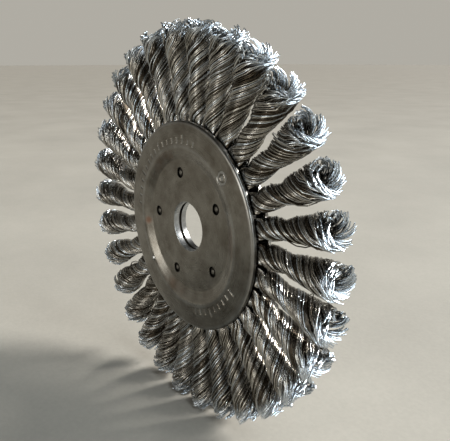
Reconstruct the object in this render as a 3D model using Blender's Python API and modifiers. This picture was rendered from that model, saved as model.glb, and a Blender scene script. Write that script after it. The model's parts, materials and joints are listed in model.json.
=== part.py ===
"""Twist-knot wire wheel brush for an angle grinder, standing on its rim.

Frame: metres, +Z up, origin at the centre of the bore, wheel axis along Y.
The front face looks towards -Y. Knots are numbered clockwise from the top, as seen from the front.
"""
import math

import bmesh
import bpy
from mathutils import Matrix, Vector

MM = 0.001

# Wheel and bore
WHEEL_D = 178 * MM
BORE_D = 22.2 * MM

# Face plates: a flat clamping face, then a step up to a raised ring
PLATE_D = 95 * MM
PLATE_T = 2.0 * MM
STEP_W = 6.3 * MM
RIM_RISE = 1.6 * MM
RING_CROWN = 0.6 * MM
LIP_WALL = 1.2 * MM
LIP_LENGTH = 0.6 * MM

# Anchor disc between the plates, with one hole for each knot
DISC_INSET = 3.5 * MM
DISC_T = 2.0 * MM
HOLE_D = 5.5 * MM
HOLE_RIM = 1.25 * MM
CREST_INSET = 0.95 * MM
KNOT_COUNT = 30

# Knot: two flat fans from the anchor hole join outside the plates, narrow to a waist and flare.
# A width lies along the rim, a thickness along the wheel axis.
NECK_T = 6.8 * MM
WAIST_D = 8.0 * MM
WAIST_OUT = 15.5 * MM
TIP_T = 16 * MM
TIP_ROUND = 3.0 * MM
SHOULDER_DROP = 1.0 * MM
CAP_W = 9.0 * MM
FAN_RELIEF = 0.1 * MM
FAN_OVERLAP = 0.9 * MM

# Rivets
RIVET_COUNT = 5
RIVET_INSET = 5.4 * MM
RIVET_PHASE = math.radians(-12.5)
SHANK_D = 3.0 * MM
HEAD_D = 4.0 * MM
HEAD_T = 0.45 * MM
DOME_D = 2.2 * MM
DOME_DEPTH = 0.2 * MM
PIT_DEPTH = 1.3 * MM

# Clearances
SEAT_GAP = 0.3 * MM
FAN_GAP = 0.3 * MM
TIP_GAP = 2.9 * MM
JOINT_SETBACK = 1.2 * MM
CUT_OVER = 5 * MM

# Facets
PLATE_STEPS = 48
RIVET_STEPS = 10
HOLE_SIDES = 8
SLOPE_POINTS = 3
MERGE = 0.00001

# Length of an eight-sided section's flats, as a share of its width: round, soft or square
ROUND = math.tan(math.pi / 8)
SOFT = 0.6
SQUARE = 0.7
SHOULDER_SHARE = 0.35
# Width of a fan where it starts, as a share of the eye it starts in
EYE_SHARE = 0.7

# Radii, from the rim inwards
WHEEL_R = WHEEL_D / 2
PLATE_R = PLATE_D / 2
DISC_R = PLATE_R - DISC_INSET
HOLE_R = DISC_R - HOLE_RIM - HOLE_D / 2
CREST_R = HOLE_R - HOLE_D / 2 - CREST_INSET
FLAT_R = CREST_R - STEP_W
RIVET_R = FLAT_R - RIVET_INSET
DISC_BORE_R = BORE_D / 2 + LIP_WALL + SEAT_GAP

# Heights above the wheel's middle plane
FACE_H = DISC_T / 2 + SEAT_GAP + PLATE_T
LEG_IN_H = DISC_T / 2 + SEAT_GAP
LEG_OUT_H = FACE_H + RIM_RISE - PLATE_T - SEAT_GAP

# Widths that follow from the pitch of the knots
PITCH = 2 * math.pi / KNOT_COUNT
JOINT_R = DISC_R + JOINT_SETBACK
FLARE_R = WHEEL_R - TIP_ROUND
FAN_W = 2 * JOINT_R * math.tan(PITCH / 2) - FAN_GAP
TIP_W = 2 * FLARE_R * math.tan(PITCH / 2) - TIP_GAP
PIT_D = HEAD_D + 2 * SEAT_GAP
SHANK_HOLE_D = SHANK_D + 2 * SEAT_GAP


def clear_scene():
    for thing in list(bpy.data.objects):
        bpy.data.objects.remove(thing, do_unlink=True)


def new_collection(name):
    collection = bpy.data.collections.new(name)
    bpy.context.scene.collection.children.link(collection)
    return collection


def make_material(name, colour, roughness, metallic=1.0):
    material = bpy.data.materials.new(name)
    material.use_nodes = True
    shader = material.node_tree.nodes["Principled BSDF"]
    shader.inputs["Base Color"].default_value = (*colour, 1.0)
    shader.inputs["Roughness"].default_value = roughness
    shader.inputs["Metallic"].default_value = metallic
    return material


def add_object(name, mesh, collection, material=None):
    thing = bpy.data.objects.new(name, mesh)
    collection.objects.link(thing)
    if material and not mesh.materials:
        mesh.materials.append(material)
    return thing


def turned(name, profile, steps, collection, material=None):
    """Closed or axis-to-axis profile of (radius, height), turned about the local Z axis."""
    mesh = bpy.data.meshes.new(name)
    points = [(radius, 0, height) for radius, height in profile]
    edges = [(i, i + 1) for i in range(len(points) - 1)]
    if profile[0][0] > 0:
        edges.append((len(points) - 1, 0))
    mesh.from_pydata(points, edges, [])
    thing = add_object(name, mesh, collection, material)
    screw = thing.modifiers.new("turn", "SCREW")
    screw.steps = steps
    screw.render_steps = steps
    screw.use_merge_vertices = True
    screw.merge_threshold = MERGE
    return thing


def face_height(radius):
    """Height of a plate's outer face above the wheel's middle plane."""
    crest_rise = RIM_RISE + RING_CROWN
    if radius <= FLAT_R:
        return FACE_H
    if radius <= CREST_R:
        share = (radius - FLAT_R) / STEP_W
        return FACE_H + crest_rise * share * share * (3 - 2 * share)
    share = (radius - CREST_R) / (PLATE_R - CREST_R)
    return FACE_H + crest_rise - RING_CROWN * share * share


def spread(first, last, count):
    return [first + (last - first) * i / count for i in range(1, count + 1)]


def plate_profile():
    slope = spread(FLAT_R, CREST_R, SLOPE_POINTS)
    ring = spread(CREST_R, PLATE_R, SLOPE_POINTS)
    radii = [FLAT_R] + slope + ring
    outer = [(r, face_height(r)) for r in radii]
    inner = [(r, height - PLATE_T) for r, height in reversed(outer)]
    back_h = FACE_H - PLATE_T
    lip_r = BORE_D / 2 + LIP_WALL
    lip = [(lip_r, back_h), (lip_r, back_h - LIP_LENGTH), (BORE_D / 2, back_h - LIP_LENGTH)]
    return [(BORE_D / 2, FACE_H)] + outer + inner + lip


def pit_profile():
    """Stepped cutter: a round pit in the face and the shank's hole below it."""
    top, floor = FACE_H + CUT_OVER, FACE_H - PIT_DEPTH
    hole_r, pit_r = SHANK_HOLE_D / 2, PIT_D / 2
    return [(0, top), (pit_r, top), (pit_r, floor), (hole_r, floor), (hole_r, 0), (0, 0)]


def rivet_profile():
    """Shank with a head in each plate's pit and a small dome on each head."""
    seat = FACE_H - PIT_DEPTH + SEAT_GAP
    dome_h = FACE_H - DOME_DEPTH
    upper = [(0, dome_h), (DOME_D / 2, dome_h), (HEAD_D / 2, seat + HEAD_T), (HEAD_D / 2, seat),
             (SHANK_D / 2, seat)]
    return upper + [(radius, -height) for radius, height in reversed(upper)]


def rivet_places():
    angles = [RIVET_PHASE + 2 * math.pi * i / RIVET_COUNT for i in range(RIVET_COUNT)]
    return [Vector((RIVET_R * math.sin(a), 0, RIVET_R * math.cos(a))) for a in angles]


def turn_to_wheel(thing, facing=-1):
    """Lay the local Z axis along the wheel axis, towards -Y (front) or +Y (rear)."""
    thing.rotation_euler = (-facing * math.pi / 2, 0, 0)


def hide_cutter(thing):
    thing.hide_render = True
    thing.display_type = "WIRE"


def cut(thing, cutters):
    """Take a whole collection of cutters out of one part."""
    boolean = thing.modifiers.new("cut", "BOOLEAN")
    boolean.operation = "DIFFERENCE"
    boolean.solver = "EXACT"
    boolean.operand_type = "COLLECTION"
    boolean.collection = cutters


def child_collection(parent, name):
    collection = bpy.data.collections.new(name)
    parent.children.link(collection)
    return collection


def build_pit_cutters(parent, side, facing):
    cutters = child_collection(parent, side + "_pits")
    for number, place in enumerate(rivet_places(), 1):
        cutter = turned(f"{side}_pit_cutter_{number}", pit_profile(), RIVET_STEPS, cutters)
        turn_to_wheel(cutter, facing)
        cutter.location = place
        hide_cutter(cutter)
    return cutters


def build_plate(side, facing, parts, cutters, material, wheel):
    plate = turned(side + "_plate", plate_profile(), PLATE_STEPS, parts, material)
    turn_to_wheel(plate, facing)
    cut(plate, build_pit_cutters(cutters, side, facing))
    plate.parent = wheel


def knot_angles():
    return [PITCH * (i + 0.5) for i in range(KNOT_COUNT)]


def add_hole_cutter(name, diameter, place, turn, collection):
    """Straight round cutter along the wheel axis, turned about it by the given angle."""
    mesh = bpy.data.meshes.new(name)
    shape = bmesh.new()
    bmesh.ops.create_cone(shape, cap_ends=True, segments=HOLE_SIDES, radius1=diameter / 2,
                          radius2=diameter / 2, depth=DISC_T + 2 * CUT_OVER,
                          matrix=Matrix.Rotation(math.pi / 2, 4, "X"))
    shape.to_mesh(mesh)
    shape.free()
    cutter = add_object(name, mesh, collection)
    cutter.location = place
    cutter.rotation_euler = (0, turn, 0)
    hide_cutter(cutter)


def build_anchor_disc(parts, cutters, material, wheel):
    half = DISC_T / 2
    profile = [(DISC_BORE_R, half), (DISC_R, half), (DISC_R, -half), (DISC_BORE_R, -half)]
    disc = turned("anchor_disc", profile, 2 * KNOT_COUNT, parts, material)
    turn_to_wheel(disc)
    holes = child_collection(cutters, "disc_holes")
    for number, angle in enumerate(knot_angles(), 1):
        place = (HOLE_R * math.sin(angle), 0, HOLE_R * math.cos(angle))
        add_hole_cutter(f"anchor_hole_cutter_{number:02d}", HOLE_D, place, angle, holes)
    for number, place in enumerate(rivet_places(), 1):
        add_hole_cutter(f"disc_rivet_cutter_{number}", SHANK_HOLE_D, place, 0, holes)
    cut(disc, holes)
    disc.parent = wheel


def build_rivets(parts, material, wheel):
    for number, place in enumerate(rivet_places(), 1):
        rivet = turned(f"rivet_{number}", rivet_profile(), RIVET_STEPS, parts, material)
        turn_to_wheel(rivet)
        rivet.location = place
        rivet.parent = wheel


def eight_points(w, t, flats, out):
    """Eight-sided section of half width w (along the rim, X) and half thickness t (Y)."""
    kw, kt = w * flats, t * flats
    outline = [(w, -kt), (w, kt), (kw, t), (-kw, t), (-w, kt), (-w, -kt), (-kw, -t), (kw, -t)]
    return [(x, y, out) for x, y in outline]


def blend(first, last, share):
    return first + (last - first) * share


def knot_sections():
    """Sections from the fans' joint to the tip: (half width, half thickness, flats, radius)."""
    fan, waist, tip_w, tip_t = FAN_W / 2, WAIST_D / 2, TIP_W / 2, TIP_T / 2
    base_t = LEG_OUT_H - FAN_RELIEF
    waist_r = PLATE_R + WAIST_OUT
    base = [(fan, base_t, SQUARE, JOINT_R),
            (fan, base_t, SQUARE, PLATE_R + SEAT_GAP),
            (fan, NECK_T / 2, SOFT, PLATE_R + LEG_OUT_H),
            (waist, waist, ROUND, waist_r)]
    flare = [(blend(waist, tip_w, s), blend(waist, tip_t, s), ROUND, blend(waist_r, FLARE_R, s))
             for s in (1 / 3, 2 / 3, 1)]
    cap_w, cap_t = CAP_W / 2, tip_t - SHOULDER_DROP
    shoulder = (blend(tip_w, cap_w, SHOULDER_SHARE), blend(tip_t, cap_t, SHOULDER_SHARE), SOFT,
                WHEEL_R - SHOULDER_DROP)
    return base + flare + [shoulder, (cap_w, cap_t, SQUARE, WHEEL_R)]


def loft(rings):
    """Closed body through rings of points that all have the same count."""
    shape = bmesh.new()
    rows = [[shape.verts.new(point) for point in ring] for ring in rings]
    count = len(rows[0])
    for low, high in zip(rows, rows[1:]):
        for i in range(count):
            j = (i + 1) % count
            shape.faces.new((low[i], low[j], high[j], high[i]))
    shape.faces.new(reversed(rows[0]))
    shape.faces.new(rows[-1])
    return shape


def mesh_from(shape, name):
    mesh = bpy.data.meshes.new(name)
    shape.to_mesh(mesh)
    shape.free()
    return mesh


def fan_outline():
    """Outline of one fan, from inside the eye to its full width in the knot."""
    root = EYE_SHARE * (HOLE_D / 2 - SEAT_GAP)
    reach = JOINT_R + FAN_OVERLAP - HOLE_R
    half = FAN_W / 2 - SEAT_GAP
    return [(-root, 0), (root, 0), (half, reach - SEAT_GAP), (half, reach), (-half, reach), (-half, reach - SEAT_GAP)]


def eye_mesh():
    """Round middle of the bundle, where it passes through the anchor hole."""
    eye_r = HOLE_D / 2 - SEAT_GAP
    pin = bmesh.new()
    bmesh.ops.create_cone(pin, cap_ends=True, segments=HOLE_SIDES, radius1=eye_r, radius2=eye_r,
                          depth=LEG_IN_H + LEG_OUT_H, matrix=Matrix.Rotation(math.pi / 2, 4, "X"))
    return mesh_from(pin, "knot_eye")


def fan_mesh(name, facing, cutters):
    """Flat outline in the XZ plane, as thick as the room between the disc and the plate."""
    curve = bpy.data.curves.new(name, "CURVE")
    curve.dimensions = "2D"
    curve.fill_mode = "BOTH"
    curve.extrude = (LEG_OUT_H - LEG_IN_H) / 2
    outline = fan_outline()
    spline = curve.splines.new("POLY")
    spline.points.add(len(outline) - 1)
    for point, (x, z) in zip(spline.points, outline):
        point.co = (x, z, 0, 1)
    spline.use_cyclic_u = True
    flat = add_object(name, curve, cutters)
    graph = bpy.context.evaluated_depsgraph_get()
    mesh = bpy.data.meshes.new_from_object(flat.evaluated_get(graph))
    bpy.data.objects.remove(flat)
    shape = bmesh.new()
    shape.from_mesh(mesh)
    bmesh.ops.remove_doubles(shape, verts=shape.verts, dist=MERGE)
    middle = Vector((0, facing * (LEG_IN_H + LEG_OUT_H) / 2, 0))
    bmesh.ops.transform(shape, matrix=Matrix.Translation(middle) @ Matrix.Rotation(math.pi / 2, 4, "X"),
                        verts=shape.verts)
    return mesh_from(shape, name)


def make_knot_mesh(cutters):
    """Knot about its anchor hole: local Z runs outwards and the hole's axis is local Y."""
    stem_rings = [eight_points(w, t, flats, r - HOLE_R) for w, t, flats, r in knot_sections()]
    knot = add_object("knot_pattern", mesh_from(loft(stem_rings), "knot_stem"), cutters)
    hide_cutter(knot)
    pieces = [eye_mesh(), fan_mesh("front_fan", -1, cutters), fan_mesh("rear_fan", 1, cutters)]
    for mesh in pieces:
        piece = add_object(mesh.name, mesh, cutters)
        hide_cutter(piece)
        join = knot.modifiers.new("join", "BOOLEAN")
        join.operation = "UNION"
        join.solver = "EXACT"
        join.object = piece
    graph = bpy.context.evaluated_depsgraph_get()
    return bpy.data.meshes.new_from_object(knot.evaluated_get(graph))


def build_knots(parts, cutters, material, wheel):
    mesh = make_knot_mesh(cutters)
    mesh.name = "knot"
    for number, angle in enumerate(knot_angles(), 1):
        knot = add_object(f"knot_{number:02d}", mesh, parts, material)
        knot.location = (HOLE_R * math.sin(angle), 0, HOLE_R * math.cos(angle))
        knot.rotation_euler = (0, angle, 0)
        knot.parent = wheel


def main():
    clear_scene()
    parts = new_collection("wire_wheel_brush")
    cutters = new_collection("cutters")
    plate_steel = make_material("burnished_plate_steel", (0.105, 0.096, 0.084), 0.38)
    disc_steel = make_material("zinc_plated_disc_steel", (0.42, 0.45, 0.48), 0.35)
    rivet_steel = make_material("rivet_steel", (0.20, 0.19, 0.17), 0.45)
    wire_steel = make_material("spring_wire_steel", (0.30, 0.28, 0.24), 0.35)
    wheel = bpy.data.objects.new("wheel_axis", None)
    parts.objects.link(wheel)
    build_plate("front", -1, parts, cutters, plate_steel, wheel)
    build_plate("rear", 1, parts, cutters, plate_steel, wheel)
    build_anchor_disc(parts, cutters, disc_steel, wheel)
    build_rivets(parts, rivet_steel, wheel)
    build_knots(parts, cutters, wire_steel, wheel)


main()
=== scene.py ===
import json
import math
from collections import namedtuple

import bpy
import numpy as np
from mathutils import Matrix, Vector

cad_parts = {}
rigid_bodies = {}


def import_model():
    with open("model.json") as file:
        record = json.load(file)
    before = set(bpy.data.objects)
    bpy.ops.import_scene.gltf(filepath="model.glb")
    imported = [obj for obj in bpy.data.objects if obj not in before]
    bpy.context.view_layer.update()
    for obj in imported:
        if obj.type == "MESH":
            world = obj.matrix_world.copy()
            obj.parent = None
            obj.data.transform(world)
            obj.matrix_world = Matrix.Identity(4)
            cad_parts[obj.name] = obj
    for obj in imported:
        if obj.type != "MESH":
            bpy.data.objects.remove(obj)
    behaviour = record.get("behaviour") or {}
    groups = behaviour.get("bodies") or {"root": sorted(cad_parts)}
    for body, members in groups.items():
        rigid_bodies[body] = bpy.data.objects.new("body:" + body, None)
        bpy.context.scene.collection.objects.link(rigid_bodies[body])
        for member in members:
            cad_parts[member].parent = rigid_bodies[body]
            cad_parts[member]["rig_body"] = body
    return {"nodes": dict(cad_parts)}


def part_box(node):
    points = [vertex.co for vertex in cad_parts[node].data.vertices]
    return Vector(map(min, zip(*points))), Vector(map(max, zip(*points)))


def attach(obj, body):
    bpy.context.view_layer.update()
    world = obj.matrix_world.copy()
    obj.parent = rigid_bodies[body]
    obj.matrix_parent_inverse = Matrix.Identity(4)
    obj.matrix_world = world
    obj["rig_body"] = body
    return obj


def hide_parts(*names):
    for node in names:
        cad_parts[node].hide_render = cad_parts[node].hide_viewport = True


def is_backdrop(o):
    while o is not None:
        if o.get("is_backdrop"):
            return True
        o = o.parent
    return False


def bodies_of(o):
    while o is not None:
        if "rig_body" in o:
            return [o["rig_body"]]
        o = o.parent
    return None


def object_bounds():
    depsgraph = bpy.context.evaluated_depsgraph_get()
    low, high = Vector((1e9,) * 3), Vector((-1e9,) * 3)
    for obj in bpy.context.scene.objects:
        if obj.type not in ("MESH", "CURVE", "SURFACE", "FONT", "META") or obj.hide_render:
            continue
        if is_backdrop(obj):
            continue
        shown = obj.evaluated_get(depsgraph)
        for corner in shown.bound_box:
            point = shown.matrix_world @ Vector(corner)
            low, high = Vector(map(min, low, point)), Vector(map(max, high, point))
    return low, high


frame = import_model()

bl_info = {
    "name": "Twist-knot wire wheel",
    "version": (1, 0, 0),
    "blender": (4, 5, 0),
    "location": "View3D > Sidebar > Wire Wheel",
    "description": "Builds the face plates, rivets and wire knots of a twist-knot wire wheel",
    "category": "Add Mesh",
}

MM = 0.001
CAD_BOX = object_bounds()
KNOTS = sorted(name for name in frame["nodes"] if name.startswith("knot_"))
RIVETS = sorted(name for name in frame["nodes"] if name.startswith("rivet_"))
PITCH = math.tau / len(KNOTS)
ORIGIN = (0, 0, 0)


def half_height(node):
    """How far a node reaches from the wheel's middle plane."""
    low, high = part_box(node)
    return max(abs(low[1]), abs(high[1]))


def linear(code):
    """An sRGB hex colour as the linear RGBA that Blender works in."""
    values = [int(code[i : i + 2], 16) / 255 for i in (1, 3, 5)]
    return tuple(v / 12.92 if v <= 0.04045 else ((v + 0.055) / 1.055) ** 2.4 for v in values) + (1.0,)


# ---------------------------------------------------------------- settings


def length(name, description, default):
    """A length that a user can set, in metres."""
    return bpy.props.FloatProperty(
        name=name,
        description=description,
        default=default,
        min=0.0,
        precision=5,
        subtype="DISTANCE",
        unit="LENGTH",
    )


def colour(name, description, code):
    """A colour that a user can set, given as an sRGB hex value."""
    return bpy.props.FloatVectorProperty(
        name=name, description=description, default=linear(code), size=4, min=0.0, max=1.0, subtype="COLOR"
    )


def bearing(name, description, degrees):
    """An angle that a user can set."""
    return bpy.props.FloatProperty(
        name=name, description=description, default=math.radians(degrees), subtype="ANGLE", unit="ROTATION"
    )


class PlateSettings(bpy.types.PropertyGroup):
    """Sizes and colours of the two pressed face plates and their rivets."""

    radius: length("Plate radius", "From the wheel's axis to the plate's rim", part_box("front_plate")[1][0])
    height: length(
        "Crest height", "Top of the raised ring above the middle plane", half_height("front_plate")
    )
    bore: length("Bore radius", "Radius of the arbor hole", 11.1 * MM)
    face: length("Face height", "Clamping face above the middle plane", 3.3 * MM)
    flat: length("Flat radius", "Outer radius of the flat clamping face", 30 * MM)
    crest: length("Crest radius", "Where the raised ring is highest", 36.3 * MM)
    sheet: length("Sheet thickness", "Thickness of the pressed steel", 2 * MM)
    rivet_circle: length("Rivet circle", "Radius of the circle that the rivets lie on", 24.6 * MM)
    rivet_head: length("Rivet head", "Radius of a rivet's head", 2.0 * MM)
    steel: colour("Steel", "Burnished pressed steel", "#79766f")
    tarnish: colour("Tarnish", "Browned and oily steel", "#5c574f")
    rust: colour("Rust", "Thin rust on the inner slope", "#6e4227")
    # Also the colour of the painted highlights on the crest and the stamped marks, and of the painted
    # reflection in the bore
    wear_and_highlight: colour("Worn steel", "Bare steel on worn edges", "#b3b7ba")
    # Painted shade: this colour darkens the rivet pits, the faces below the clamping face and each rivet
    # head below its dome
    grime_and_shade: colour("Grime", "Oil and dirt left in the rivet pits", "#1d1a16")


class WireSettings(bpy.types.PropertyGroup):
    """Sizes and colours of the twisted wire knots."""

    gauge: length("Wire radius", "Radius of one wire", 0.25 * MM)
    waist: length("Waist radius", "Radius of a knot at its narrowest", 4.0 * MM)
    tip: length("Tip radius", "Radius of a knot's brushing end", 7.55 * MM)
    reach: length("Reach", "From the wheel's axis to the longest wire ends", 88.9 * MM)
    turns: bpy.props.FloatProperty(
        name="Twist", description="How hard the knots are twisted", default=1.0, min=0.1, max=2.0
    )
    dark: colour("Oiled wire", "Wire dark with drawing oil", "#463f35")
    plain: colour("Plain wire", "Hard-drawn steel wire", "#b4b0a8")
    bright: colour("Bright wire", "Wire polished by use", "#c8cfd5")


class StageSettings(bpy.types.PropertyGroup):
    """Floor, light and camera."""

    floor: colour("Floor", "Pale concrete", "#817d74")
    backdrop: colour("Backdrop", "Soft light all round", "#c9c5bb")
    azimuth: bearing("Azimuth", "Camera's turn from the front of the wheel", 52.3)
    elevation: bearing("Elevation", "Camera's angle above the floor", 16.2)
    distance: length("Distance", "From the camera to the wheel's middle", 250.6 * MM)
    lens: bpy.props.FloatProperty(
        name="Focal length",
        description="In millimetres, on a 36 mm sensor",
        default=44.0,
        min=1.0,
        unit="CAMERA",
    )


# ---------------------------------------------------------------- helpers


def alone(obj):
    """Makes obj the one selected and active object."""
    bpy.ops.object.select_all(action="DESELECT")
    obj.select_set(True)
    bpy.context.view_layer.objects.active = obj


def polar(face):
    """Angle from X about Z, in degrees, and distance from Z of a face's middle."""
    x, y, z = face.center
    return math.degrees(math.atan2(y, x)) % 360, math.hypot(x, y)


def body_of(node):
    """The body that a CAD node belongs to."""
    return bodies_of(frame["nodes"][node])[0]


def lathe(name, profile, columns, closed):
    """A turned shape about Z: a circle is added, extruded and scaled from one profile point to the next.

    A closed profile is joined to its own start. An open one keeps its first circle as a cap, which
    travels with the extrusion, and is closed at both ends.
    """
    bpy.ops.object.select_all(action="DESELECT")
    radius, height = profile[0]
    bpy.ops.mesh.primitive_circle_add(vertices=columns, radius=radius, location=ORIGIN, fill_type="NOTHING")
    obj = bpy.context.active_object
    obj.name = obj.data.name = name
    bpy.ops.object.mode_set(mode="EDIT")
    bpy.ops.mesh.select_all(action="SELECT")
    bpy.ops.transform.translate(value=(0, 0, height))
    if not closed:
        bpy.ops.mesh.edge_face_add()
    steps = profile[1:] + ([profile[0]] if closed else [])
    for next_radius, next_height in steps:
        if closed:
            bpy.ops.mesh.extrude_edges_indiv()
        else:
            bpy.ops.mesh.extrude_region()
        scale = next_radius / radius
        bpy.ops.transform.resize(value=(scale, scale, 1), center_override=ORIGIN)
        bpy.ops.transform.translate(value=(0, 0, next_height - height))
        radius, height = next_radius, next_height
    close_mesh(0.001 * MM)
    return obj


def close_mesh(distance):
    """Merges the doubles of the mesh in edit mode, turns its faces outwards and leaves edit mode."""
    bpy.ops.mesh.select_all(action="SELECT")
    bpy.ops.mesh.remove_doubles(threshold=distance)
    bpy.ops.mesh.normals_make_consistent(inside=False)
    bpy.ops.mesh.select_all(action="DESELECT")
    bpy.ops.object.mode_set(mode="OBJECT")


def turn_to(obj, side):
    """Turns a shape made about Z so that its top faces the front (-1) or the rear (+1)."""
    alone(obj)
    obj.rotation_euler = (math.pi / 2, 0, 0) if side < 0 else (-math.pi / 2, 0, 0)
    bpy.ops.object.transform_apply(location=True, rotation=True, scale=True)


def join(objs, name):
    """Joins loose shapes into one object."""
    alone(objs[0])
    for obj in objs:
        obj.select_set(True)
    bpy.ops.object.join()
    obj = bpy.context.active_object
    obj.name = obj.data.name = name
    return obj


def cut(obj, cutter):
    """Cuts one shape out of another and removes the cutter."""
    alone(obj)
    modifier = obj.modifiers.new("Cut", "BOOLEAN")
    modifier.operation, modifier.solver, modifier.object = "DIFFERENCE", "EXACT", cutter
    bpy.ops.object.modifier_apply(modifier=modifier.name)
    bpy.data.objects.remove(cutter, do_unlink=True)


def smooth(obj, degrees):
    """Shades a shape smooth, apart from edges that bend by more than an angle."""
    alone(obj)
    bpy.ops.object.shade_smooth_by_angle(angle=math.radians(degrees))


def finish_piece(obj, material, body, nodes):
    """Gives a piece its material and tells the frame what it is."""
    obj.data.materials.clear()
    obj.data.materials.append(material)
    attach(obj, body)
    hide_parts(*nodes)


# ---------------------------------------------------------------- materials


def add_node(tree, kind, settings=(), inputs=()):
    """Adds one node, sets its own settings and its inputs, each a value or another node's socket."""
    node = tree.nodes.new(kind)
    for name, value in dict(settings).items():
        if name == "stops":
            ramp = node.color_ramp
            while len(ramp.elements) < len(value):
                ramp.elements.new(1.0)
            for element, (place, tone) in zip(ramp.elements, value):
                element.position, element.color = place, tone
        else:
            setattr(node, name, value)
    for name, value in dict(inputs).items():
        if isinstance(value, bpy.types.NodeSocket):
            tree.links.new(value, node.inputs[name])
        else:
            node.inputs[name].default_value = value
    return node


# A Mix node's sockets for colours, by number, because its names are given more than once
FACTOR, COLOUR_A, COLOUR_B, COLOUR_OUT = 0, 6, 7, 2
MIX = {"data_type": "RGBA"}
MULTIPLY = {"data_type": "RGBA", "blend_type": "MULTIPLY"}
SMOOTH = {"interpolation_type": "SMOOTHSTEP"}


def new_material(name):
    """An empty node material, with its tree and its Object coordinates."""
    material = bpy.data.materials.new(name)
    material.use_nodes = True
    tree = material.node_tree
    tree.nodes.clear()
    return material, tree, add_node(tree, "ShaderNodeTexCoord").outputs["Object"]


def from_axis(tree, place):
    """The place with no Y, and its distance from the wheel's axis."""
    flat = add_node(
        tree, "ShaderNodeVectorMath", {"operation": "MULTIPLY"}, {0: place, 1: (1, 0, 1)}
    ).outputs[0]
    return flat, add_node(tree, "ShaderNodeVectorMath", {"operation": "LENGTH"}, {0: flat}).outputs["Value"]


def surface(tree, tone, roughness, relief, strength, depth, metallic=1.0):
    """Joins colour, roughness and relief in one shader, metal unless it says otherwise."""
    bump = add_node(
        tree, "ShaderNodeBump", inputs={"Strength": strength, "Distance": depth, "Height": relief}
    )
    shader = add_node(
        tree,
        "ShaderNodeBsdfPrincipled",
        inputs={
            "Base Color": tone, "Metallic": metallic, "Roughness": roughness, "Normal": bump.outputs[0]
        },
    )
    add_node(tree, "ShaderNodeOutputMaterial", inputs={"Surface": shader.outputs[0]})


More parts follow.
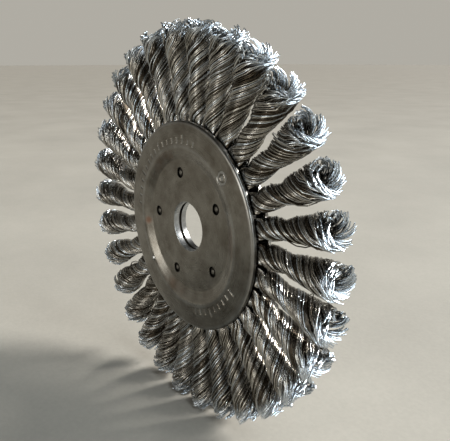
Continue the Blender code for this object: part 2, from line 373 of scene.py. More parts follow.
def pressed_steel(plate):
    """Deep-drawn mild steel, tumbled and oiled: dark and brownish, scuffed round the axis, bare at the rim,
    with painted highlights on the crest and the stamped marks and a painted reflection in the bore.
    """
    material, tree, place = new_material("Pressed mild steel, burnished")
    axes = add_node(tree, "ShaderNodeSeparateXYZ", inputs={0: place})
    flat, radius = from_axis(tree, place)
    angle = add_node(
        tree, "ShaderNodeMath", {"operation": "ARCTAN2"}, {0: axes.outputs[0], 1: axes.outputs[2]}
    ).outputs[0]
    # Handling scuffs run round the axis: 0.7 mm apart, and about 25 mm long on the raised ring
    around = add_node(tree, "ShaderNodeMath", {"operation": "MULTIPLY"}, {0: angle, 1: 1.6}).outputs[0]
    across = add_node(
        tree, "ShaderNodeMath", {"operation": "MULTIPLY"}, {0: radius, 1: 1 / (0.7 * MM)}
    ).outputs[0]
    track = add_node(tree, "ShaderNodeCombineXYZ", inputs={0: across, 1: around}).outputs[0]
    scuffs = add_node(
        tree, "ShaderNodeTexNoise", inputs={"Vector": track, "Scale": 1.0, "Detail": 4.0, "Roughness": 0.6}
    ).outputs[0]
    # Oil and handling leave cloudy patches about 9 mm wide
    clouds = add_node(
        tree,
        "ShaderNodeTexNoise",
        inputs={"Vector": place, "Scale": 1 / (9 * MM), "Detail": 5.0, "Roughness": 0.65},
    ).outputs[0]
    # A grain 0.8 mm wide, coarser than the real one so that it shows
    grain = add_node(
        tree,
        "ShaderNodeTexNoise",
        inputs={"Vector": place, "Scale": 1 / (0.8 * MM), "Detail": 3.0, "Roughness": 0.6},
    ).outputs[0]
    cloud_mask = add_node(
        tree, "ShaderNodeMapRange", inputs={"Value": clouds, "From Min": 0.38, "From Max": 0.66}
    ).outputs[0]
    base = add_node(
        tree, "ShaderNodeMix", MIX, {FACTOR: cloud_mask, COLOUR_A: plate.steel, COLOUR_B: plate.tarnish}
    ).outputs[COLOUR_OUT]
    scuff_tone = add_node(
        tree,
        "ShaderNodeMapRange",
        inputs={"Value": scuffs, "From Min": 0.3, "From Max": 0.7, "To Min": 0.94, "To Max": 1.05},
    ).outputs[0]
    base = add_node(
        tree, "ShaderNodeMix", MULTIPLY, {FACTOR: 1.0, COLOUR_A: base, COLOUR_B: scuff_tone}
    ).outputs[COLOUR_OUT]
    # Thin rust where water stands on the inner slope, between the flat and the crest
    up = add_node(
        tree,
        "ShaderNodeMapRange",
        SMOOTH,
        {"Value": radius, "From Min": plate.flat, "From Max": plate.flat + 2 * MM},
    ).outputs[0]
    down = add_node(
        tree,
        "ShaderNodeMapRange",
        SMOOTH,
        {"Value": radius, "From Min": plate.crest, "From Max": plate.crest - 3 * MM},
    ).outputs[0]
    slope = add_node(tree, "ShaderNodeMath", {"operation": "MULTIPLY"}, {0: up, 1: down}).outputs[0]
    patches = add_node(
        tree,
        "ShaderNodeTexNoise",
        inputs={"Vector": place, "Scale": 1 / (22 * MM), "Detail": 4.0, "Roughness": 0.7},
    ).outputs[0]
    patches = add_node(
        tree,
        "ShaderNodeMapRange",
        inputs={"Value": patches, "From Min": 0.52, "From Max": 0.72, "To Max": 0.3},
    ).outputs[0]
    rust = add_node(tree, "ShaderNodeMath", {"operation": "MULTIPLY"}, {0: slope, 1: patches}).outputs[0]
    # One rust spot about 4 mm across in the middle of the slope
    turn, out = math.radians(RUST_SPOT_TURN), plate.flat + 3.2 * MM
    centre = (out * math.sin(turn), 0, out * math.cos(turn))
    off = add_node(
        tree, "ShaderNodeVectorMath", {"operation": "DISTANCE"}, {0: flat, 1: centre}
    ).outputs["Value"]
    spot_mask = add_node(
        tree,
        "ShaderNodeMapRange",
        SMOOTH,
        {"Value": off, "From Min": 2.8 * MM, "From Max": 0.4 * MM, "To Max": 0.5},
    ).outputs[0]
    rust = add_node(tree, "ShaderNodeMath", {"operation": "MAXIMUM"}, {0: rust, 1: spot_mask}).outputs[0]
    base = add_node(
        tree, "ShaderNodeMix", MIX, {FACTOR: rust, COLOUR_A: base, COLOUR_B: plate.rust}
    ).outputs[COLOUR_OUT]
    # Bare steel on the rim, a painted highlight with wear along the crest and a painted reflection in the
    # bore, thinner where the patches are
    rim = add_node(
        tree,
        "ShaderNodeMapRange",
        SMOOTH,
        {
            "Value": radius,
            "From Min": plate.radius - ROLL_WIDTH,
            "From Max": plate.radius - 0.8 * MM,
            "To Max": 0.25,
        },
    ).outputs[0]
    # Painted reflection: the bore's edge is painted pale
    bore = add_node(
        tree,
        "ShaderNodeMapRange",
        SMOOTH,
        {
            "Value": radius,
            "From Min": plate.bore + 0.6 * MM,
            "From Max": plate.bore + 0.15 * MM,
            "To Max": 0.8,
        },
    ).outputs[0]
    edges = add_node(tree, "ShaderNodeMath", {"operation": "MAXIMUM"}, {0: rim, 1: bore}).outputs[0]
    from_crest = add_node(
        tree, "ShaderNodeMath", {"operation": "SUBTRACT"}, {0: radius, 1: plate.crest}
    ).outputs[0]
    from_crest = add_node(tree, "ShaderNodeMath", {"operation": "ABSOLUTE"}, {0: from_crest}).outputs[0]
    # Painted highlight with wear: a band along the crest is painted pale
    crest = add_node(
        tree,
        "ShaderNodeMapRange",
        SMOOTH,
        {"Value": from_crest, "From Min": 1.4 * MM, "From Max": 0.1 * MM, "To Max": 0.2},
    ).outputs[0]
    edges = add_node(tree, "ShaderNodeMath", {"operation": "MAXIMUM"}, {0: edges, 1: crest}).outputs[0]
    # Painted highlight: the stamped marks are painted bright
    stamped = add_node(tree, "ShaderNodeAttribute", {"attribute_name": STAMPED}).outputs["Fac"]
    stamped = add_node(tree, "ShaderNodeMath", {"operation": "MULTIPLY"}, {0: stamped, 1: 0.5}).outputs[0]
    edges = add_node(tree, "ShaderNodeMath", {"operation": "MAXIMUM"}, {0: edges, 1: stamped}).outputs[0]
    broken = add_node(
        tree,
        "ShaderNodeMapRange",
        inputs={"Value": clouds, "From Min": 0.3, "From Max": 0.6, "To Min": 1.0, "To Max": 0.45},
    ).outputs[0]
    wear_and_highlight = add_node(
        tree, "ShaderNodeMath", {"operation": "MULTIPLY", "use_clamp": True}, {0: edges, 1: broken}
    ).outputs[0]
    base = add_node(
        tree, "ShaderNodeMix", MIX, {FACTOR: wear_and_highlight, COLOUR_A: base, COLOUR_B: plate.wear_and_highlight}
    ).outputs[COLOUR_OUT]
    # Painted shade: faces below the clamping face and away from the bore are darkened, which takes in the
    # rivet pits
    depth = add_node(tree, "ShaderNodeMath", {"operation": "ABSOLUTE"}, {0: axes.outputs[1]}).outputs[0]
    sunk = add_node(
        tree,
        "ShaderNodeMapRange",
        inputs={"Value": depth, "From Min": plate.face - 0.02 * MM, "From Max": plate.face - 0.3 * MM},
    ).outputs[0]
    away = add_node(
        tree,
        "ShaderNodeMapRange",
        inputs={
            "Value": radius,
            "From Min": plate.bore + 1.5 * MM,
            "From Max": plate.bore + 2.5 * MM,
            "To Max": 0.85,
        },
    ).outputs[0]
    grime_and_shade = add_node(tree, "ShaderNodeMath", {"operation": "MULTIPLY"}, {0: sunk, 1: away}).outputs[0]
    base = add_node(
        tree, "ShaderNodeMix", MIX, {FACTOR: grime_and_shade, COLOUR_A: base, COLOUR_B: plate.grime_and_shade}
    ).outputs[COLOUR_OUT]
    gloss = add_node(
        tree,
        "ShaderNodeMapRange",
        inputs={"Value": scuffs, "From Min": 0.3, "From Max": 0.7, "To Min": 0.25, "To Max": 0.33},
    ).outputs[0]
    rough = add_node(tree, "ShaderNodeMapRange", inputs={"Value": rust, "To Max": 0.3}).outputs[0]
    gloss = add_node(tree, "ShaderNodeMath", {"operation": "ADD"}, {0: gloss, 1: rough}).outputs[0]
    relief = add_node(tree, "ShaderNodeMath", {"operation": "ADD"}, {0: scuffs, 1: grain}).outputs[0]
    surface(tree, base, gloss, relief, 0.12, 0.03 * MM)
    return material


def riveted_steel(plate):
    """Soft rivet steel, headed cold: the head is painted dark below its dome as shade in the pit, and the
    dome keeps the plain steel colour.
    """
    material, tree, place = new_material("Cold-headed rivet steel")
    height = add_node(tree, "ShaderNodeSeparateXYZ", inputs={0: place}).outputs[1]
    height = add_node(tree, "ShaderNodeMath", {"operation": "ABSOLUTE"}, {0: height}).outputs[0]
    # Painted shade: the head is dark below the dome, where it sits in its pit
    dome = add_node(
        tree,
        "ShaderNodeMapRange",
        SMOOTH,
        {"Value": height, "From Min": DOME_FOOT, "From Max": DOME_FOOT + 0.2 * MM},
    ).outputs[0]
    # Grime about 1 mm across, coarser than the real film so that it shows
    grime_and_shade = add_node(
        tree, "ShaderNodeTexNoise", inputs={"Vector": place, "Scale": 1 / (1.1 * MM), "Detail": 4.0}
    ).outputs[0]
    tone = add_node(
        tree, "ShaderNodeMix", MIX, {FACTOR: dome, COLOUR_A: plate.grime_and_shade, COLOUR_B: plate.steel}
    ).outputs[COLOUR_OUT]
    tone = add_node(
        tree, "ShaderNodeMix", MULTIPLY, {FACTOR: 0.5, COLOUR_A: tone, COLOUR_B: grime_and_shade}
    ).outputs[COLOUR_OUT]
    gloss = add_node(
        tree, "ShaderNodeMapRange", inputs={"Value": grime_and_shade, "To Min": 0.32, "To Max": 0.6}
    ).outputs[0]
    surface(tree, tone, gloss, grime_and_shade, 0.3, 0.05 * MM)
    return material


def blanked_steel(plate):
    """Blanked strip steel, as it left the press: an even brownish grey with fine rolling lines."""
    material, tree, place = new_material("Blanked strip steel")
    # Rolling lines 0.4 mm apart along X
    rolled = add_node(
        tree,
        "ShaderNodeMapping",
        inputs={"Vector": place, "Scale": (1 / (12 * MM), 1 / (0.4 * MM), 1 / (0.4 * MM))},
    ).outputs[0]
    lines = add_node(
        tree, "ShaderNodeTexNoise", inputs={"Vector": rolled, "Scale": 1.0, "Detail": 3.0}
    ).outputs[0]
    tone = add_node(
        tree, "ShaderNodeMix", MIX, {FACTOR: lines, COLOUR_A: plate.tarnish, COLOUR_B: plate.steel}
    ).outputs[COLOUR_OUT]
    surface(tree, tone, 0.42, lines, 0.2, 0.03 * MM)
    return material


def drawn_wire(wire):
    """Hard-drawn high-carbon wire: each has its own tone under a film of oil, and the ends are polished."""
    material, tree, place = new_material("Hard-drawn steel wire")
    own = add_node(tree, "ShaderNodeNewGeometry").outputs["Random Per Island"]
    radius = from_axis(tree, place)[1]
    # Oil gathers in patches about 3 mm long
    oil = add_node(
        tree,
        "ShaderNodeTexNoise",
        inputs={"Vector": place, "Scale": 1 / (3 * MM), "Detail": 3.0, "Roughness": 0.6},
    ).outputs[0]
    stops = [
        (0.0, wire.dark), (0.28, wire.dark), (0.5, wire.plain), (0.74, wire.plain), (0.92, wire.bright)
    ]
    tones = add_node(tree, "ShaderNodeValToRGB", {"stops": stops}, {0: own}).outputs[0]
    oiled = add_node(
        tree, "ShaderNodeMapRange", inputs={"Value": oil, "From Min": 0.45, "From Max": 0.7, "To Max": 0.7}
    ).outputs[0]
    tone = add_node(
        tree, "ShaderNodeMix", MIX, {FACTOR: oiled, COLOUR_A: tones, COLOUR_B: wire.dark}
    ).outputs[COLOUR_OUT]
    # Work has rubbed the last 7 mm of the wires clean
    worked = add_node(
        tree,
        "ShaderNodeMapRange",
        SMOOTH,
        {"Value": radius, "From Min": 81.5 * MM, "From Max": 86 * MM, "To Max": 0.94},
    ).outputs[0]
    tone = add_node(
        tree, "ShaderNodeMix", MIX, {FACTOR: worked, COLOUR_A: tone, COLOUR_B: wire.bright}
    ).outputs[COLOUR_OUT]
    gloss = add_node(
        tree,
        "ShaderNodeMapRange",
        inputs={"Value": oil, "From Min": 0.3, "From Max": 0.7, "To Min": 0.16, "To Max": 0.3},
    ).outputs[0]
    # Die marks too fine to show, drawn as faint ripples 0.4 mm long
    ripples = add_node(
        tree, "ShaderNodeTexNoise", inputs={"Vector": place, "Scale": 1 / (0.4 * MM), "Detail": 2.0}
    ).outputs[0]
    surface(tree, tone, gloss, ripples, 0.2, 0.04 * MM)
    return material


def floated_concrete(stage):
    """Float-finished concrete: matt and pale, with broad soft mottling and a fine sandy tooth."""
    material, tree, place = new_material("Float-finished concrete")
    broad = add_node(
        tree,
        "ShaderNodeTexNoise",
        inputs={"Vector": place, "Scale": 1 / (120 * MM), "Detail": 5.0, "Roughness": 0.6},
    ).outputs[0]
    sand = add_node(
        tree, "ShaderNodeTexNoise", inputs={"Vector": place, "Scale": 1 / (2 * MM), "Detail": 3.0}
    ).outputs[0]
    shade = add_node(
        tree,
        "ShaderNodeMapRange",
        inputs={"Value": broad, "From Min": 0.3, "From Max": 0.7, "To Min": 0.9, "To Max": 1.06},
    ).outputs[0]
    tooth = add_node(
        tree,
        "ShaderNodeMapRange",
        inputs={"Value": sand, "From Min": 0.3, "From Max": 0.7, "To Min": 0.96, "To Max": 1.03},
    ).outputs[0]
    shade = add_node(tree, "ShaderNodeMath", {"operation": "MULTIPLY"}, {0: shade, 1: tooth}).outputs[0]
    tone = add_node(
        tree, "ShaderNodeMix", MULTIPLY, {FACTOR: 1.0, COLOUR_A: stage.floor, COLOUR_B: shade}
    ).outputs[COLOUR_OUT]
    surface(tree, tone, 0.85, sand, 0.3, 0.2 * MM, metallic=0.0)
    return material


# ---------------------------------------------------------------- face plates

# The rim is rolled over: how far in that starts, and how far it drops
ROLL_WIDTH = 1.9 * MM
ROLL_DROP = 0.9 * MM
# The bore's lip: thickness of its wall, and how far it hangs below the sheet
LIP_WALL = 1.2 * MM
LIP_DROP = 0.6 * MM
# Radius of the rounding at the bore and the rim's lower edge
EDGE = 0.4 * MM
# How far the raised ring falls from its crest to the rim
RING_FALL = 0.6 * MM
# Shares of the slope that its bend at the foot and its bend into the crest take up
FOOT_BEND, TOP_BEND = 0.10, 0.34
# Fine rings of faces reach from the crest out to here, for the stamped marks
STAMPED_TO = 42.6 * MM
# Clock angles, in degrees seen from the front, and radii of the stamped marks
TICK_STEP, TICK_HALF_WIDTH = 6.0, 0.51
UPPER_ARC, LOWER_ARC = (272, 14), (116, 172)
TICK_START, TICK_END, LONG_TICK_END = 37.6 * MM, 40.0 * MM, 41.4 * MM
BADGE_TURN, BADGE_RADIUS = 46, 39 * MM
PIP_TURN, PIP_RADIUS = 231, 35.8 * MM
STAMP_DEPTH = 0.22 * MM
RUST_SPOT_TURN = 263
# Face attribute that says which faces are stamped; the material paints them bright as a highlight
STAMPED = "stamped"
# Half section of a rivet's pit, in mm: the hole, the seat of the head, the wall and a flare at the mouth
PIT_SECTION = ((1.8, 0), (1.8, 2.0), (2.1, 2.0), (2.25, 2.1), (2.3, 2.3), (2.3, 3.1), (2.5, 3.32), (2.5, 4))
# Height below which a rivet's head is painted dark as shade in its pit; above it the dome keeps the plain
# steel colour
DOME_FOOT = 2.86 * MM


def plate_profile(plate):
    """The half section of a face plate as (radius, height), from the bore lip round the outside and back."""
    rise = plate.height - plate.face

    def outside(r):
        if r <= plate.flat:
            return plate.face
        if r <= plate.crest:
            # A short bend at the foot, a straight slope and a longer bend into the crest
            s = (r - plate.flat) / (plate.crest - plate.flat)
            steep = 1 / (1 - (FOOT_BEND + TOP_BEND) / 2)
            if s < FOOT_BEND:
                share = steep * s * s / (2 * FOOT_BEND)
            elif s < 1 - TOP_BEND:
                share = steep * (s - FOOT_BEND / 2)
            else:
                share = 1 - steep * (1 - s) ** 2 / (2 * TOP_BEND)
            return plate.face + rise * share
        t = (r - plate.crest) / (plate.radius - plate.crest)
        return plate.face + rise - RING_FALL * t * t

    bottom = plate.face - plate.sheet - LIP_DROP
    section = [(plate.bore, bottom), (plate.bore, plate.face - EDGE)]
    # The bore's edge is rounded in four steps
    for i in range(1, 5):
        turn = math.pi - i * math.pi / 8
        section.append(
            (plate.bore + EDGE + EDGE * math.cos(turn), plate.face - EDGE + EDGE * math.sin(turn))
        )
    section += [(r * MM, outside(r * MM)) for r in (14, 19, 24, 28)]
    for i in range(19):
        r = plate.flat + (plate.crest - plate.flat) * i / 18
        section.append((r, outside(r)))
    # Fine steps where the stamping lies, then the rolled rim
    last = plate.radius - ROLL_WIDTH
    for i in range(1, 19):
        r = plate.crest + (STAMPED_TO - plate.crest) * i / 18
        section.append((r, outside(r)))
    for i in range(1, 6):
        r = STAMPED_TO + (last - STAMPED_TO) * i / 5
        section.append((r, outside(r)))
    for i in range(1, 9):
        turn = i * math.pi / 16
        section.append(
            (last + ROLL_WIDTH * math.sin(turn), outside(last) - ROLL_DROP * (1 - math.cos(turn)))
        )
    under = outside(plate.radius) - plate.sheet
    section += [(plate.radius, under + 0.5 * EDGE), (plate.radius - 0.5 * EDGE, under)]
    for r in (44, 40, plate.crest / MM, 34, 32, plate.flat / MM, 22):
        section.append((r * MM, outside(r * MM) - plate.sheet))
    section += [(plate.bore + LIP_WALL, plate.face - plate.sheet), (plate.bore + LIP_WALL, bottom)]
    return section


def tick_here(degrees, radius):
    """True on the short radial ticks pressed into the raised ring, in two arcs."""
    turn = (90 - degrees) % 360
    upper = UPPER_ARC[0] <= turn or turn <= UPPER_ARC[1]
    lower = LOWER_ARC[0] <= turn <= LOWER_ARC[1]
    if not (upper or lower):
        return False
    count = round(turn / TICK_STEP)
    if abs(turn - count * TICK_STEP) > TICK_HALF_WIDTH:
        return False
    # Every fifth tick is longer
    return TICK_START <= radius <= (TICK_END if count % 5 else LONG_TICK_END)


def press(obj, inside, depth):
    """Presses the ring's faces that inside() picks into the sheet, or raises them if depth is negative."""
    alone(obj)
    bpy.ops.object.mode_set(mode="EDIT")
    bpy.ops.mesh.select_all(action="DESELECT")
    bpy.ops.mesh.select_mode(type="FACE")
    bpy.ops.object.mode_set(mode="OBJECT")
    for face in obj.data.polygons:
        face.select = face.normal.z > 0.3 and inside(*polar(face))
    bpy.ops.object.mode_set(mode="EDIT")
    bpy.ops.transform.translate(value=(0, 0, -depth))
    bpy.ops.mesh.select_all(action="DESELECT")
    bpy.ops.object.mode_set(mode="OBJECT")


def spot(turn, radius, size, inner=0.0):
    """A test for faces between two distances from the point at a clock angle and radius."""
    a = math.radians(90 - turn)
    x, y = radius * math.cos(a), radius * math.sin(a)

    def inside(degrees, r):
        b = math.radians(degrees)
        return inner <= math.hypot(r * math.cos(b) - x, r * math.sin(b) - y) <= size

    return inside


def rivet_turn(name):
    """Clock angle of a rivet, seen from the front."""
    low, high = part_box(name)
    return math.atan2((low[0] + high[0]) / 2, (low[2] + high[2]) / 2)


def mark_stamping(obj, tests):
    """Writes, for each face, whether it is stamped, for the highlight painted on the marks."""
    mark = obj.data.attributes.new(STAMPED, "FLOAT", "FACE")
    for face in obj.data.polygons:
        if face.normal.z > 0.1:
            mark.data[face.index].value = float(any(test(*polar(face)) for test in tests))


def make_plate(plate, side):
    """One pressed plate, stamped and with its rivet pits, for the front (-1) or the rear (+1)."""
    obj = lathe("plate", plate_profile(plate), 720, True)
    # Ticks, a ring with a dot in it, and a pip raised in two steps
    badge_ring = spot(BADGE_TURN, BADGE_RADIUS, 2.9 * MM, 2.0 * MM)
    badge_dot = spot(BADGE_TURN, BADGE_RADIUS, 1.0 * MM)
    pip = spot(PIP_TURN, PIP_RADIUS, 1.1 * MM)
    for mark in (tick_here, badge_ring, badge_dot):
        press(obj, mark, STAMP_DEPTH)
    press(obj, pip, -0.25 * MM)
    press(obj, spot(PIP_TURN, PIP_RADIUS, 0.7 * MM), -0.2 * MM)
    pits = []
    for name in RIVETS:
        pit = lathe("pit", [(r * MM, h * MM) for r, h in PIT_SECTION], 48, False)
        # The rear plate is made face up and then turned over, which mirrors its clock angles
        turn = rivet_turn(name) if side < 0 else math.pi - rivet_turn(name)
        pit.location = (plate.rivet_circle * math.sin(turn), plate.rivet_circle * math.cos(turn), 0)
        pits.append(pit)
    cutter = join(pits, "pits")
    alone(cutter)
    bpy.ops.object.transform_apply(location=True)
    cut(obj, cutter)
    mark_stamping(obj, (tick_here, badge_ring, badge_dot, pip))
    turn_to(obj, side)
    smooth(obj, 32)
    return obj


class WHEEL_OT_face_plates(bpy.types.Operator):
    """Turn the two pressed face plates and put them on either side of the knots"""

    bl_idname = "wire_wheel.face_plates"
    bl_label = "Face Plates"

    def execute(self, context):
        plate = context.scene.wire_wheel_plate
        steel = pressed_steel(plate)
        for node, side in (("front_plate", -1), ("rear_plate", 1)):
            obj = make_plate(plate, side)
            obj.name = obj.data.name = node.replace("_plate", "_face_plate")
            finish_piece(obj, steel, body_of(node), [node])
        return {"FINISHED"}


class WHEEL_OT_rivets(bpy.types.Operator):
    """Turn one rivet, headed at both ends, and copy it to each hole"""

    bl_idname = "wire_wheel.rivets"
    bl_label = "Rivets"

    def execute(self, context):
        plate = context.scene.wire_wheel_plate
        steel = riveted_steel(plate)
        head = plate.rivet_head / MM
        # Half of the section, in mm: the shank, the edge of the head and the dome
        half = [(1.5, 0.0), (1.5, 2.3), (head - 0.12, 2.3), (head, 2.42), (head, 2.6), (head - 0.15, 2.74)]
        half += [(1.45, 2.78), (1.2, 2.82), (1.05, 2.95), (0.8, 3.05), (0.45, 3.1)]
        profile = [(r * MM, -h * MM) for r, h in reversed(half)] + [(r * MM, h * MM) for r, h in half[1:]]
        first = lathe("rivet", profile, 32, False)
        turn_to(first, -1)
        smooth(first, 35)
        for name in RIVETS:
            obj = first.copy()
            obj.data = first.data.copy()
            context.collection.objects.link(obj)
            obj.name = obj.data.name = name.replace("rivet_", "headed_rivet_")
            turn = rivet_turn(name)
            obj.location = (plate.rivet_circle * math.sin(turn), 0, plate.rivet_circle * math.cos(turn))
            alone(obj)
            bpy.ops.object.transform_apply(location=True)
            finish_piece(obj, steel, body_of(name), [name])
        bpy.data.objects.remove(first, do_unlink=True)
        return {"FINISHED"}


class WHEEL_OT_anchor_disc(bpy.types.Operator):
    """Give the anchor disc between the plates its finish"""

    bl_idname = "wire_wheel.anchor_disc"
    bl_label = "Anchor Disc"

    def execute(self, context):
        disc = frame["nodes"]["anchor_disc"]
        disc.data.materials.clear()
        disc.data.materials.append(blanked_steel(context.scene.wire_wheel_plate))
        return {"FINISHED"}


# ---------------------------------------------------------------- wire knots

# How fast a knot twists, in degrees for each mm of its length, against the distance from the axis in mm
TWIST_PLACES = (46.5, 49.5, 54, 58, 64, 70, 76, 82, 90)
TWIST_RATES = (0, 9.5, 11, 12.5, 13.5, 12.5, 10.5, 8, 6)
# Half width of a knot along its length, in mm, at a waist of 4 mm, and its thickness against that width
GIRTH_WAIST = 4 * MM
GIRTH_PLACES = (47, 50, 54, 58, 63, 68, 74, 80)
GIRTHS = (4.75, 4.8, 4.6, 4.3, 4.15, 4.6, 5.5, 6.5)
THICKNESS_PLACES = (47, 50, 54, 59)
THICKNESSES = (0.56, 0.74, 0.9, 1.0)
# A leg leaves the anchor hole here, widens to this half width between the plates, and lifts off them beyond
LEG_START = 41.9
FAN_PLACES, FAN_HALF_WIDTHS = (LEG_START, 47.5, 60), (2.2, 4.6, 4.6)
LIFT_PLACES, LIFTS = (LEG_START, 47.2, 50.5, 56), (0, 0, 0.8, 1.1)
# Layers of wires in a knot, from the outside in: how many wires, radius against the outer layer, height of
# the fan, radius at the mouth of the tip and at the cut ends, degrees that the tip sweeps round, lowest and
# highest reach of its clumps, and how late the wires lean outwards. Lengths are in mm
Layer = namedtuple("Layer", "count share fan mouth lip sweep low high lean")
LAYERS = (
    Layer(20, 1.0, 2.34, 6.4, 7.5, 50, 84.2, 86.6, 1.3),
    Layer(16, 0.84, 2.02, 5.1, 7.3, 66, 85.4, 87.6, 1.7),
    Layer(12, 0.68, 1.76, 3.7, 6.9, 84, 86.4, 88.3, 2.0),
    Layer(8, 0.5, 1.55, 2.5, 6.2, 104, 87.0, 88.7, 2.2),
)
# Wires in a clump at the tip
CLUMP = 3
# How far a rope's radius waves along its length, and how far single wires wander in it, in mm
WAVE, WANDER = 0.07, 0.11
# The first random seed, and one more for each knot
SEED = 4100


def shank_places():
    """Distances from the axis, in mm, of the points along a wire's shank."""
    return np.concatenate([[LEG_START, 44.5, 47.0, 48.6, 50.2], np.arange(52.0, 80.1, 2.0)])


def twist_at(places, hardness):
    """Angle that a knot has turned through by each place, in radians."""
    fine = np.linspace(40, 90, 501)
    rates = np.interp(fine, TWIST_PLACES, TWIST_RATES) * hardness
    return np.radians(np.interp(places, fine, np.cumsum(rates) * (fine[1] - fine[0])))


def ease(t):
    """Runs smoothly from 0 to 1 as t does."""
    t = np.clip(t, 0, 1)
    return t * t * (3 - 2 * t)


def half_wire(wire, rng, half, layer, spread, gather, knot, clump):
    """One leg of a wire, from the anchor hole to its cut end, in mm: distance, sideways and axial place.

    half is -1 for the front leg and 1 for the rear one; spread runs from -1 to 1 across the leg, and gather
    is how far the wire moves across it to close up with its clump at the tip.
    """
    outer = layer is LAYERS[0]
    r = shank_places()
    # Flat fan where the leg leaves the plates
    fan_v = spread * np.interp(r, FAN_PLACES, FAN_HALF_WIDTHS)
    lift = np.interp(r, LIFT_PLACES, layer.fan + layer.share * np.array(LIFTS))
    fan_y = half * lift * (1 - 0.25 * spread**2 * ease((r - 48) / 5))
    # Round rope beyond the waist: each leg is one strand of it
    turned = twist_at(r, knot["hardness"]) + knot["phase"] * ease((r - 50) / 14)
    start = math.radians(270 + 90 * spread) if half < 0 else math.radians(90 - 90 * spread)
    girth = np.interp(r, GIRTH_PLACES, GIRTHS) * (wire.waist / GIRTH_WAIST) * knot["girth"]
    belly = 1 - 0.2 * abs(spread) ** 2.5 * (1 - ease((r - 62) / 12)) + 0.06 * (1 - abs(spread))
    hollow = np.interp(r, (62, 80), (layer.share, layer.mouth / LAYERS[0].mouth))
    rope = girth * belly * hollow + WAVE * np.sin(r * 0.45 + spread * 3 + knot["wave_start"])
    # Some wires stand a little proud of their neighbours, and a few bow right out
    proud = abs(rng.normal(0, 0.16)) if outer else 0.0
    bow = rng.uniform(0.9, 1.7) if outer and rng.random() < 0.02 else 0.0
    rope = rope + proud * ease((r - 52) / 8) + bow * np.sin(math.pi * np.clip((r - 60) / 24, 0, 1)) ** 2
    theta = start + turned
    rope_v = rope * np.cos(theta)
    rope_y = rope * np.sin(theta) * np.interp(r, THICKNESS_PLACES, THICKNESSES)
    w = ease((r - 46.5) / 6)
    v = fan_v * (1 - w) + rope_v * w
    y = fan_y * (1 - w) + rope_y * w
    # Small wander, so that neighbours cross and gape as real wires do
    drift = rng.normal(0, 1, 4)
    stray = ease((r - 50) / 8)
    v = v + WANDER * stray * (drift[0] * np.sin(r * 0.21 + drift[1]))
    y = y + WANDER * stray * (drift[2] * np.sin(r * 0.19 + drift[3]))
    shank = np.column_stack([r, v, y])
    # Tip: the wires lean over and sweep round a dark hollow, in clumps, and their cut ends splay
    q = np.linspace(0, 1, 9)[1:]
    last = math.atan2(y[-1], v[-1])
    sweep = math.radians(layer.sweep * knot["sweep"] + clump["sweep"] + rng.normal(0, 2.5))
    reach = min(clump["reach"] + rng.normal(0, 0.4), (wire.reach - wire.gauge) / MM)
    first = math.hypot(v[-1], y[-1])
    end = min(layer.lip + clump["lip"] + rng.normal(0, 0.25), wire.tip / MM)
    # The wires of a clump close up on its middle wire
    theta = last + sweep * (0.9 * q + 0.1 * q**2) + math.radians(90 * gather) * q
    rho = first + (end - first) * q**layer.lean
    out = r[-1] + (reach - r[-1]) * (1 - (1 - q) ** 1.5)
    tip = np.column_stack([out, rho * np.cos(theta) * 0.96, rho * np.sin(theta)])
    return np.vstack([shank, tip])


def knot_wires(wire, number):
    """All the wires of one knot, each folded double through its anchor hole, as point rows in metres."""
    rng = np.random.default_rng(SEED + number)
    knot = {
        "hardness": wire.turns * (1 + rng.normal(0, 0.06)),
        "phase": rng.normal(0, 0.25),
        "girth": 1 + rng.normal(0, 0.03),
        "sweep": 1 + rng.normal(0, 0.1),
        "wave_start": rng.uniform(0, math.tau),
    }
    angle = (number - 0.5) * PITCH
    along = np.array([math.sin(angle), 0, math.cos(angle)])
    across = np.array([math.cos(angle), 0, -math.sin(angle)])
    axis = np.array([0.0, 1.0, 0.0])
    wires = []
    for layer in LAYERS:
        groups = layer.count // CLUMP + 1
        clumps = {}
        for half in (-1, 1):
            for group in range(groups):
                clumps[half, group] = {
                    "sweep": rng.normal(0, 12),
                    "reach": rng.uniform(layer.low, layer.high),
                    "lip": rng.normal(0, 0.4),
                }
        for i in range(layer.count):
            spread = (i + 0.5) / layer.count * 2 - 1
            legs = {}
            for half in (-1, 1):
                # The rear leg's clumps start one wire later
                late = half > 0
                group = min((i + late) // CLUMP, groups - 1)
                middle = (group * CLUMP + CLUMP / 2 - late) / layer.count * 2 - 1
                gather = (middle - spread) * 0.55 * -half
                leg_spread = spread + (middle - spread) * 0.15
                legs[half] = half_wire(
                    wire, rng, half, layer, leg_spread, gather, knot, clumps[half, group]
                )
            # The fold: a half circle through the anchor hole, from the front of the disc to its rear
            bend = np.linspace(0, math.pi, 7)[1:-1]
            inwards = LEG_START - layer.fan * np.sin(bend)
            fold = np.column_stack([inwards, np.full(5, legs[-1][0, 1]), -layer.fan * np.cos(bend)])
            rows = np.vstack([legs[-1][::-1], fold, legs[1]])
            r, v, y = (rows * MM).T
            wires.append(r[:, None] * along + v[:, None] * across + y[:, None] * axis)
    return wires


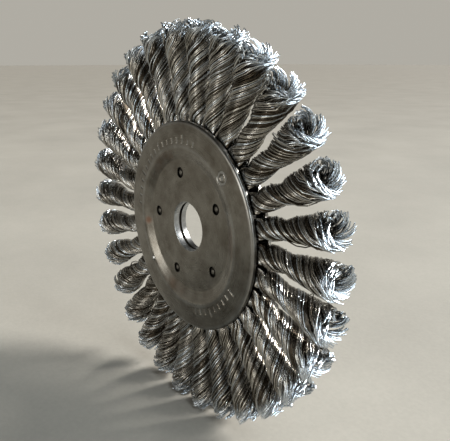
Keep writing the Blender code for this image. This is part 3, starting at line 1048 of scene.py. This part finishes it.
def make_knot(wire, number):
    """One knot: each wire a tube with closed ends, all in one mesh."""
    curve = bpy.data.curves.new("knot", "CURVE")
    curve.dimensions = "3D"
    curve.bevel_depth = wire.gauge
    curve.bevel_resolution = 1
    curve.use_fill_caps = True
    for points in knot_wires(wire, number):
        spline = curve.splines.new("POLY")
        spline.points.add(len(points) - 1)
        weighted = np.column_stack([points, np.ones(len(points))])
        spline.points.foreach_set("co", weighted.astype(np.float32).ravel())
    obj = bpy.data.objects.new("knot", curve)
    bpy.context.collection.objects.link(obj)
    alone(obj)
    bpy.ops.object.convert(target="MESH")
    obj = bpy.context.active_object
    bpy.ops.object.mode_set(mode="EDIT")
    close_mesh(0.0005 * MM)
    smooth(obj, 65)
    return obj


class WHEEL_OT_wire_knots(bpy.types.Operator):
    """Lay up the twisted knots, wire by wire, and fold each through its anchor hole"""

    bl_idname = "wire_wheel.wire_knots"
    bl_label = "Wire Knots"

    def execute(self, context):
        wire = context.scene.wire_wheel_wire
        steel = drawn_wire(wire)
        for number, node in enumerate(KNOTS, 1):
            obj = make_knot(wire, number)
            obj.name = obj.data.name = node.replace("knot_", "twisted_knot_")
            finish_piece(obj, steel, body_of(node), [node])
        return {"FINISHED"}


# ---------------------------------------------------------------- stage

FLOOR_SIZE = 40
# Square soft boxes: name, place in metres, side in metres, power in watts and tint
SOFT_BOXES = (
    ("side_box", (2.10, 0.04, 0.72), 1.1, 42.0, (0.86, 0.94, 1.0)),
    ("overhead_box", (1.30, 0.0, 1.66), 1.3, 38.0, (0.84, 0.93, 1.0)),
    ("front_window", (-0.24, -1.15, 0.17), 0.42, 3.2, (1.0, 0.98, 0.94)),
)
# Daylight: strength, width of its source, tint, and the way that it comes from
DAYLIGHT, DAYLIGHT_WIDTH, DAYLIGHT_TINT = 8.6, math.radians(22), (1.0, 0.99, 0.97)
DAYLIGHT_FROM = (0.38, 0.72, 0.58)
# Strength of the room's own light near the floor and at the ceiling, and the heights that it changes between
WALLS, CEILING = 0.74, 0.10
WALLS_END, CEILING_STARTS = 0.10, 0.50
# The camera stands this far to the right of and above the line to the wheel's middle
CAMERA_RIGHT, CAMERA_UP = 14.3 * MM, 2.2 * MM


def soft_light(name, place, size, power, tint):
    """A square soft box that looks at the wheel."""
    light = bpy.data.lights.new(name, "AREA")
    light.shape, light.size, light.energy, light.color = "SQUARE", size, power, tint
    obj = bpy.data.objects.new(name, light)
    bpy.context.collection.objects.link(obj)
    obj.location = place
    obj.rotation_euler = (Vector(ORIGIN) - Vector(place)).to_track_quat("-Z", "Y").to_euler()


class WHEEL_OT_stage(bpy.types.Operator):
    """Lay the floor and set up the light and the camera"""

    bl_idname = "wire_wheel.stage"
    bl_label = "Stage"

    def execute(self, context):
        stage = context.scene.wire_wheel_stage
        floor_height = min(CAD_BOX[0][2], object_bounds()[0][2])
        bpy.ops.object.select_all(action="DESELECT")
        bpy.ops.mesh.primitive_plane_add(size=FLOOR_SIZE, location=(0, 0, floor_height))
        floor = bpy.context.active_object
        floor.name = floor.data.name = "floor"
        bpy.ops.object.transform_apply(location=True)
        floor.data.materials.append(floated_concrete(stage))
        floor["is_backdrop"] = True

        day = bpy.data.lights.new("daylight", "SUN")
        day.energy, day.angle, day.color = DAYLIGHT, DAYLIGHT_WIDTH, DAYLIGHT_TINT
        sun = bpy.data.objects.new("daylight", day)
        context.collection.objects.link(sun)
        sun.rotation_euler = Vector(DAYLIGHT_FROM).to_track_quat("Z", "Y").to_euler()
        for box in SOFT_BOXES:
            soft_light(*box)

        world = bpy.data.worlds.new("soft_room")
        context.scene.world = world
        world.use_nodes = True
        tree = world.node_tree
        tree.nodes.clear()
        # Pale walls and a dim ceiling, so that the metal has something dark to show as well
        way = add_node(tree, "ShaderNodeTexCoord").outputs["Generated"]
        up = add_node(tree, "ShaderNodeSeparateXYZ", inputs={0: way}).outputs[2]
        strength = add_node(
            tree,
            "ShaderNodeMapRange",
            SMOOTH,
            {
                "Value": up,
                "From Min": WALLS_END,
                "From Max": CEILING_STARTS,
                "To Min": WALLS,
                "To Max": CEILING,
            },
        ).outputs[0]
        room = add_node(
            tree, "ShaderNodeBackground", inputs={"Color": stage.backdrop, "Strength": strength}
        )
        add_node(tree, "ShaderNodeOutputWorld", inputs={"Surface": room.outputs[0]})
        context.scene.view_settings.view_transform = "Standard"

        # The way back from the wheel's middle to the camera
        level = math.cos(stage.elevation)
        back = Vector(
            (math.sin(stage.azimuth) * level, -math.cos(stage.azimuth) * level, math.sin(stage.elevation))
        )
        right = (-back).cross(Vector((0, 0, 1))).normalized()
        up = right.cross(-back)
        lens = bpy.data.cameras.new("camera")
        lens.lens, lens.sensor_width = stage.lens, 36.0
        lens.clip_start, lens.clip_end = 0.005, 100
        lens.dof.use_dof = False
        camera = bpy.data.objects.new("camera", lens)
        context.collection.objects.link(camera)
        camera.location = back * stage.distance + right * CAMERA_RIGHT + up * CAMERA_UP
        camera.rotation_euler = (-back).to_track_quat("-Z", "Y").to_euler()
        context.scene.camera = camera
        return {"FINISHED"}


class WHEEL_PT_sidebar(bpy.types.Panel):
    """Buttons for the wheel's pieces"""

    bl_idname = "WHEEL_PT_sidebar"
    bl_label = "Wire Wheel"
    bl_space_type = "VIEW_3D"
    bl_region_type = "UI"
    bl_category = "Wire Wheel"

    def draw(self, context):
        for group in ("wire_wheel_plate", "wire_wheel_wire", "wire_wheel_stage"):
            box = self.layout.box()
            settings = getattr(context.scene, group)
            for name in settings.__annotations__:
                box.prop(settings, name)
        for operator in OPERATORS:
            self.layout.operator(operator.bl_idname)


OPERATORS = (
    WHEEL_OT_face_plates, WHEEL_OT_anchor_disc, WHEEL_OT_rivets, WHEEL_OT_wire_knots, WHEEL_OT_stage
)
GROUPS = (
    ("wire_wheel_plate", PlateSettings),
    ("wire_wheel_wire", WireSettings),
    ("wire_wheel_stage", StageSettings),
)


def register():
    for name, group in GROUPS:
        bpy.utils.register_class(group)
        setattr(bpy.types.Scene, name, bpy.props.PointerProperty(type=group))
    for cls in OPERATORS + (WHEEL_PT_sidebar,):
        bpy.utils.register_class(cls)


def unregister():
    for cls in reversed(OPERATORS + (WHEEL_PT_sidebar,)):
        bpy.utils.unregister_class(cls)
    for name, group in reversed(GROUPS):
        delattr(bpy.types.Scene, name)
        bpy.utils.unregister_class(group)


def main():
    register()
    bpy.ops.wire_wheel.face_plates()
    bpy.ops.wire_wheel.anchor_disc()
    bpy.ops.wire_wheel.rivets()
    bpy.ops.wire_wheel.wire_knots()
    bpy.ops.wire_wheel.stage()


if __name__ == "__main__":
    main()
